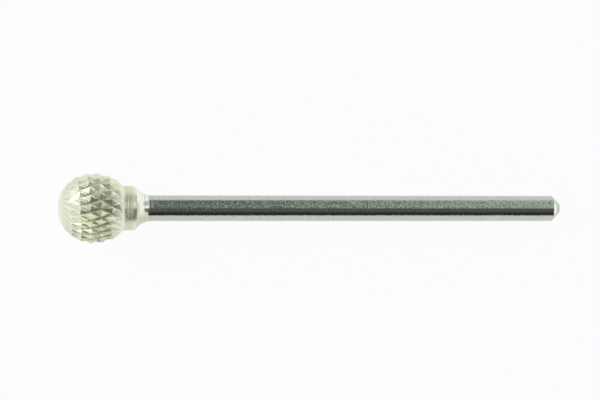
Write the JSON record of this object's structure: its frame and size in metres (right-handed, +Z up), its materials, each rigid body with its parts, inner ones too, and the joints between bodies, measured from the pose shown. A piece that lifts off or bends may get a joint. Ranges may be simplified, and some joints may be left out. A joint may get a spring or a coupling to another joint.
{
  "type": "carbide burr",
  "caption": "Ball-ended rotary burr: a double-cut carbide ball head with a plain collar, brazed to a plain round steel shank with a chamfered end.",
  "frame": {"origin": "centre of the footprint, on the surface that the burr lies on", "axes": "+X along the burr from the ball head to the free end of the shank, +Z up; the shank slopes down to +X because the ball is thicker than the shank"},
  "size_m": [0.0462, 0.0064, 0.0063],
  "materials": {
    "sintered_carbide": "ground sintered tungsten carbide, satin, faintly warm grey",
    "braze_alloy": "silver braze alloy, ground smooth, pale straw",
    "ground_steel": "centreless ground steel with fine rings round the axis"
  },
  "bodies": {
    "root": {"cutting_head": "sintered_carbide", "braze_joint": "braze_alloy", "shank": "ground_steel"}
  },
  "joints": []
}
